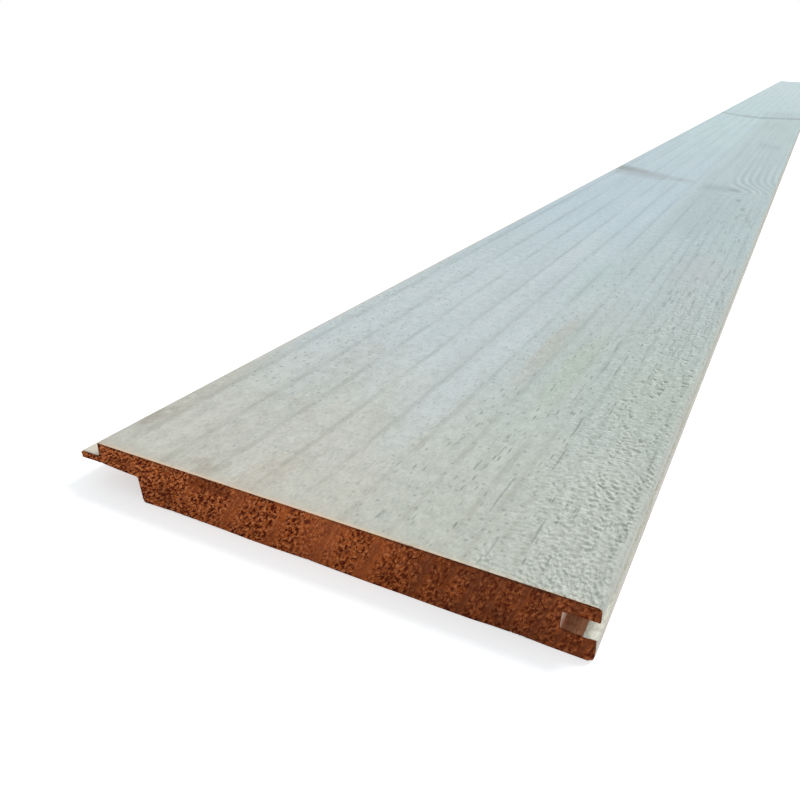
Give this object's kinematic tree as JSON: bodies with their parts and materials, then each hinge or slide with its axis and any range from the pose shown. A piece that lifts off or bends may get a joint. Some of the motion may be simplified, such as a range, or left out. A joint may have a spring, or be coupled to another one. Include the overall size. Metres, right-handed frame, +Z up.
{
  "type": "tongue and groove board",
  "caption": "Long flat cladding board with a tongue along one edge, a groove along the other and a rebate under the tongue side.",
  "frame": {"origin": "under the middle of the board, on the plane that its underside rests on", "axes": "+Y along the board, +X across it from the tongue to the groove, +Z up out of the coated face"},
  "size_m": [0.195, 4.8, 0.019],
  "materials": {
    "coated_timber": "thin matt pale grey coat on the face, tongue top and groove edge; raw red-brown timber on the sawn ends, underside and inside the groove"
  },
  "bodies": {
    "root": {"board": "coated_timber"}
  },
  "joints": []
}
